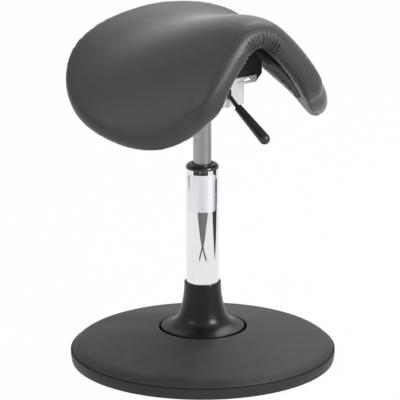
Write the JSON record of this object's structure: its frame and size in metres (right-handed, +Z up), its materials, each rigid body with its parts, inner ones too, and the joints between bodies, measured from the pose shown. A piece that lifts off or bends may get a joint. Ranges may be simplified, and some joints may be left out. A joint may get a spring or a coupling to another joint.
{
  "type": "saddle stool",
  "caption": "Black saddle stool on a round tilting foot: padded saddle seat with an arched front, gas lift with release lever, swivelling chromed column.",
  "frame": {"origin": "on the floor, at the centre of the foot, on the column's axis", "axes": "+Z up along the column. The saddle's arched front end and its lever point to -Y, and the flaps hang down to +X and -X."},
  "size_m": [0.4148, 0.405, 0.5601],
  "materials": {
    "floor_rubber": "matt",
    "ballast_steel": "satin, powder coated",
    "foot_plastic": "fine grained, matt",
    "bell_plastic": "satin gloss",
    "collar_plastic": "gloss",
    "cushion_rubber": "matt",
    "column_chrome": "bright chrome",
    "cylinder_chrome": "satin chrome",
    "bearing_steel": "ground",
    "bare_steel": "turned",
    "plated_steel": "zinc plated",
    "valve_brass": "turned",
    "lever_black": "satin",
    "grip_plastic": "fine grained",
    "block_plastic": "moulded",
    "shell_plastic": "moulded",
    "foam": "open foam",
    "cover_leather": "fine grained, satin",
    "lining_cloth": "woven"
  },
  "bodies": {
    "foot": {"floor_ring": "floor_rubber", "ballast_disc": "ballast_steel", "foot_cover": "foot_plastic", "cover_screws": "plated_steel", "pivot_seat": "bare_steel", "tilt_cushion": "cushion_rubber", "king_bolt": "plated_steel", "lock_nut": "plated_steel", "dished_washer": "bare_steel"},
    "pivot": {"pivot_ball": "bearing_steel"},
    "column": {"tilt_plate": "bare_steel", "hub_socket": "ballast_steel", "hub_bell": "bell_plastic", "column_tube": "column_chrome", "tube_end_plate": "bare_steel", "guide_bush": "collar_plastic", "bearing_lower_race": "bearing_steel"},
    "spindle": {"bearing_balls": "bearing_steel", "bearing_upper_race": "bearing_steel", "piston_rod": "cylinder_chrome", "retaining_clip": "plated_steel", "bumper": "cushion_rubber", "piston": "bare_steel"},
    "saddle": {"gas_cylinder": "cylinder_chrome", "rod_gland": "valve_brass", "valve_body": "valve_brass", "seat_plate": "plated_steel", "mechanism_case": "plated_steel", "taper_socket": "bare_steel", "lever_pivot_pin": "plated_steel", "pivot_pin_clip": "plated_steel", "seat_bolts": "plated_steel", "seat_bolt_washers": "plated_steel", "threaded_inserts": "valve_brass", "mounting_block": "block_plastic", "seat_shell": "shell_plastic", "seat_foam": "foam", "seat_cover": "cover_leather", "underside_lining": "lining_cloth"},
    "lever": {"lever_rod": "lever_black", "lever_grip": "grip_plastic"},
    "pin": {"release_pin": "bare_steel"}
  },
  "joints": [
    {"name": "tilt_fore_and_aft", "type": "hinge", "parent": "foot", "child": "pivot", "pos_m": [0, 0, 0.027], "axis": [1, 0, 0], "range_deg": [-6, 6], "stiffness_Nm_per_rad": 300, "deforming": ["tilt_cushion"]},
    {"name": "tilt_sideways", "type": "hinge", "parent": "pivot", "child": "column", "pos_m": [0, 0, 0.027], "axis": [0, 1, 0], "range_deg": [-6, 6], "stiffness_Nm_per_rad": 300, "deforming": ["tilt_cushion"]},
    {"name": "seat_swivel", "type": "hinge", "parent": "column", "child": "spindle", "pos_m": [0, 0, 0.0758], "axis": [0, 0, 1], "continuous": true},
    {"name": "height_adjust", "type": "slide", "parent": "spindle", "child": "saddle", "axis": [0, 0, 1], "range_m": [-0.065, 0.06]},
    {"name": "lever_lift", "type": "hinge", "parent": "saddle", "child": "lever", "pos_m": [0, -0.032, 0.44665], "axis": [-1, 0, 0], "range_deg": [0, 4], "stiffness_Nm_per_rad": 4},
    {"name": "release_pin_press", "type": "slide", "parent": "saddle", "child": "pin", "axis": [0, 0, 1], "range_m": [-0.0025, 0]}
  ],
  "couplings": [
    {"joint": "release_pin_press", "follows": "lever_lift", "m_per_rad": -0.0345}
  ]
}
